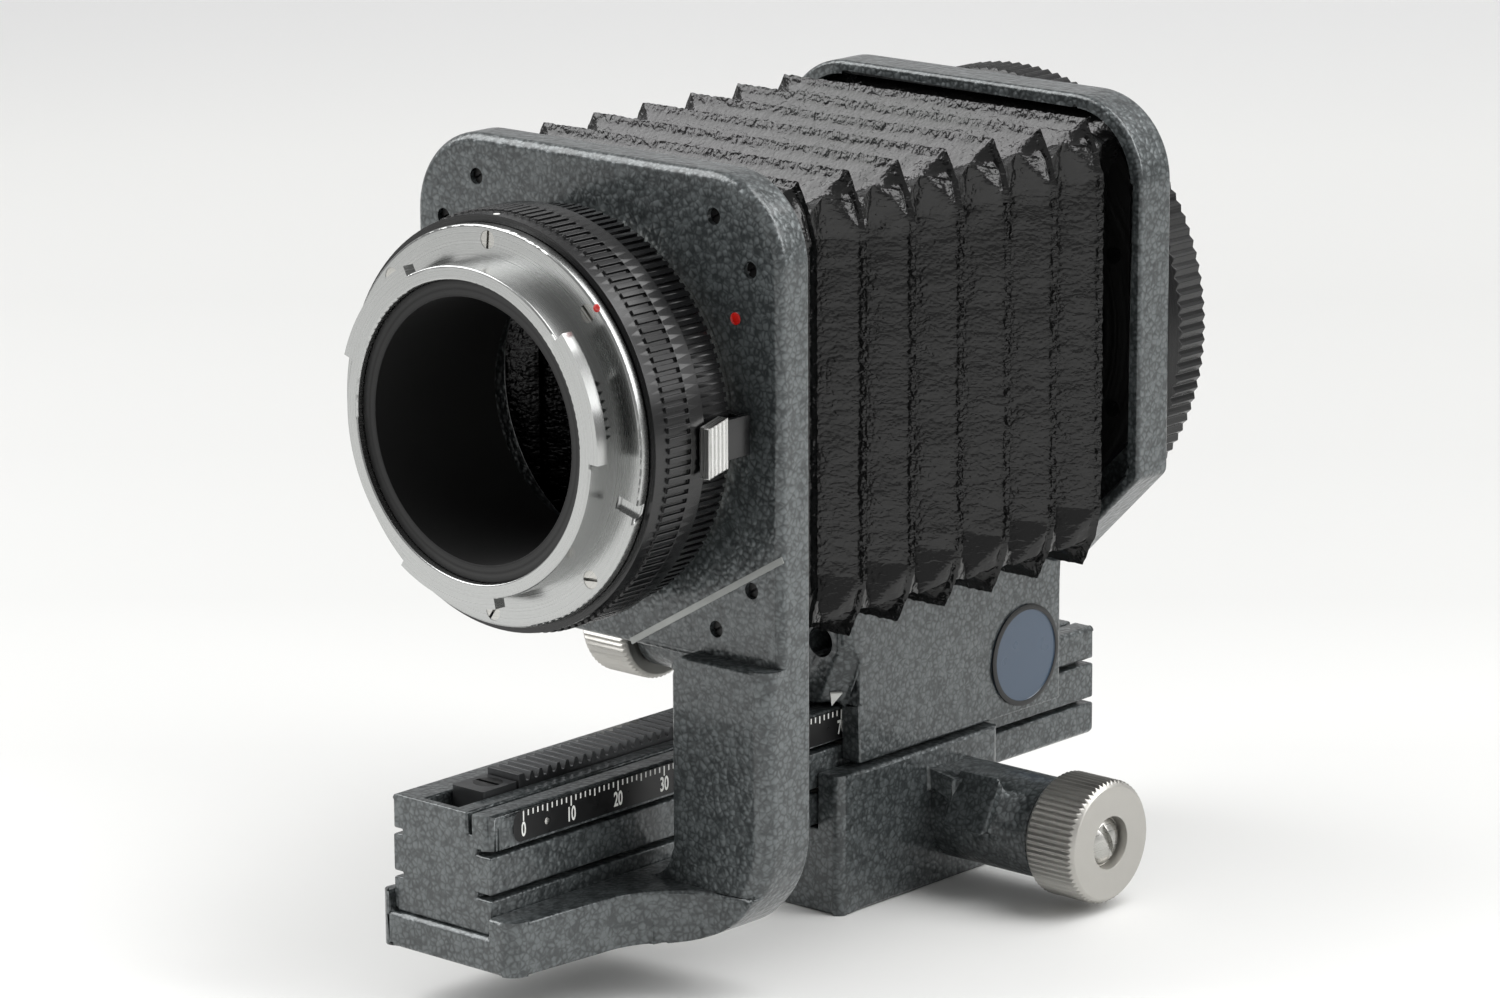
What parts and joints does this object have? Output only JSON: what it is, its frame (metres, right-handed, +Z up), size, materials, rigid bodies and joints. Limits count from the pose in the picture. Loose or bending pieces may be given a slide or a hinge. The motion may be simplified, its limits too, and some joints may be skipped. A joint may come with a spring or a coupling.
{
  "type": "macro bellows unit",
  "caption": "Focusing bellows on a geared rail, with a rotating camera mount, a sliding lens standard, a tripod carriage and two drive knobs.",
  "frame": {"origin": "mouth of the tripod socket, in the middle of the carriage's underside", "axes": "+Z up, +Y along the rail from the camera side to the lens side, +X to the focusing knob"},
  "size_m": [0.0845, 0.1397, 0.1225],
  "materials": {
    "hammertone": "grey-green hammertone paint on cast aluminium",
    "black_rack": "blackened steel",
    "scale_black": "black anodised with white marks",
    "black_anodised": "satin black anodised",
    "bright_steel": "satin chrome on brass",
    "satin_knob": "satin turned aluminium",
    "screw_steel": "nickelled steel",
    "black_screw": "blackened steel",
    "leatherette": "black grained leatherette",
    "brass": "turned brass",
    "badge_blue": "blue-grey enamel, bare",
    "white_paint": "white painted",
    "strip_plastic": "dark slide strip"
  },
  "bodies": {
    "carriage": {"tripod_carriage": "hammertone", "tripod_socket": "brass", "carriage_guide_strips": "strip_plastic", "focus_shaft_bushes": "brass"},
    "focus_knob_unit": {"focus_shaft": "screw_steel", "focus_knob": "satin_knob", "focus_knob_screw": "screw_steel"},
    "rail_unit": {"rail": "hammertone", "upper_rack": "black_rack", "lower_rack": "black_rack", "rack_stop": "black_rack", "rack_stop_screw": "black_screw", "scale_strip": "scale_black", "scale_rivets": "screw_steel", "camera_standard": "hammertone", "foot_screws": "black_screw", "plate_screws": "black_screw", "front_bellows_frame": "black_anodised", "bellows": "leatherette", "mount_base_ring": "bright_steel", "mount_hub": "bright_steel", "mount_retainer": "bright_steel"},
    "camera_mount": {"mount_ring": "black_anodised", "camera_bayonet": "bright_steel", "bayonet_screws": "screw_steel", "camera_tube": "black_anodised"},
    "number_ring_unit": {"number_ring": "black_anodised"},
    "lever_unit": {"release_lever": "bright_steel"},
    "lens_unit": {"lens_carrier": "hammertone", "carrier_guide_strips": "strip_plastic", "badge_disc": "badge_blue", "index_pointer": "white_paint", "extension_shaft_bush": "brass", "lens_standard": "hammertone", "standard_screws": "black_screw", "rear_bellows_frame": "black_anodised", "rear_frame_screws": "black_screw", "lens_base_ring": "black_anodised", "lens_flange": "bright_steel", "lens_flange_screws": "screw_steel"},
    "lens_ring_unit": {"lens_ring": "black_anodised"},
    "lens_lock_unit": {"lens_lock_pin": "screw_steel"},
    "extension_knob_unit": {"extension_shaft": "screw_steel", "extension_knob": "satin_knob", "extension_knob_screw": "screw_steel"}
  },
  "joints": [
    {"name": "focus_slide", "type": "slide", "parent": "carriage", "child": "rail_unit", "axis": [0, 1, 0], "range_m": [-0.027, 0.03]},
    {"name": "focus_turn", "type": "hinge", "parent": "carriage", "child": "focus_knob_unit", "pos_m": [0, 0.0102, 0.011], "axis": [1, 0, 0], "range_deg": [-410, 369]},
    {"name": "extension_slide", "type": "slide", "parent": "rail_unit", "child": "lens_unit", "axis": [0, 1, 0], "range_m": [-0.058, 0.0125], "deforming": ["bellows"]},
    {"name": "extension_turn", "type": "hinge", "parent": "lens_unit", "child": "extension_knob_unit", "pos_m": [0, -0.0082, 0.0369], "axis": [1, 0, 0], "range_deg": [-171, 792]},
    {"name": "mount_turn", "type": "hinge", "parent": "rail_unit", "child": "camera_mount", "pos_m": [0, -0.07, 0.0853], "axis": [0, 1, 0], "range_deg": [0, 90]},
    {"name": "number_ring_turn", "type": "hinge", "parent": "camera_mount", "child": "number_ring_unit", "pos_m": [0, -0.07, 0.0853], "axis": [0, 1, 0], "range_deg": [-30, 30]},
    {"name": "release_press", "type": "hinge", "parent": "rail_unit", "child": "lever_unit", "pos_m": [0, -0.062, 0.0853], "axis": [0, -1, 0], "range_deg": [0, 8], "stiffness_Nm_per_rad": 0.05},
    {"name": "lens_ring_turn", "type": "hinge", "parent": "lens_unit", "child": "lens_ring_unit", "pos_m": [0, 0.037, 0.0853], "axis": [0, 1, 0], "range_deg": [-30, 30]},
    {"name": "lens_lock_press", "type": "slide", "parent": "lens_unit", "child": "lens_lock_unit", "axis": [0, -1, 0], "range_m": [0, 0.0011], "stiffness_N_per_m": 400}
  ],
  "couplings": [
    {"joint": "focus_turn", "follows": "focus_slide", "rad_per_m": -238.1},
    {"joint": "extension_turn", "follows": "extension_slide", "rad_per_m": -238.1}
  ]
}
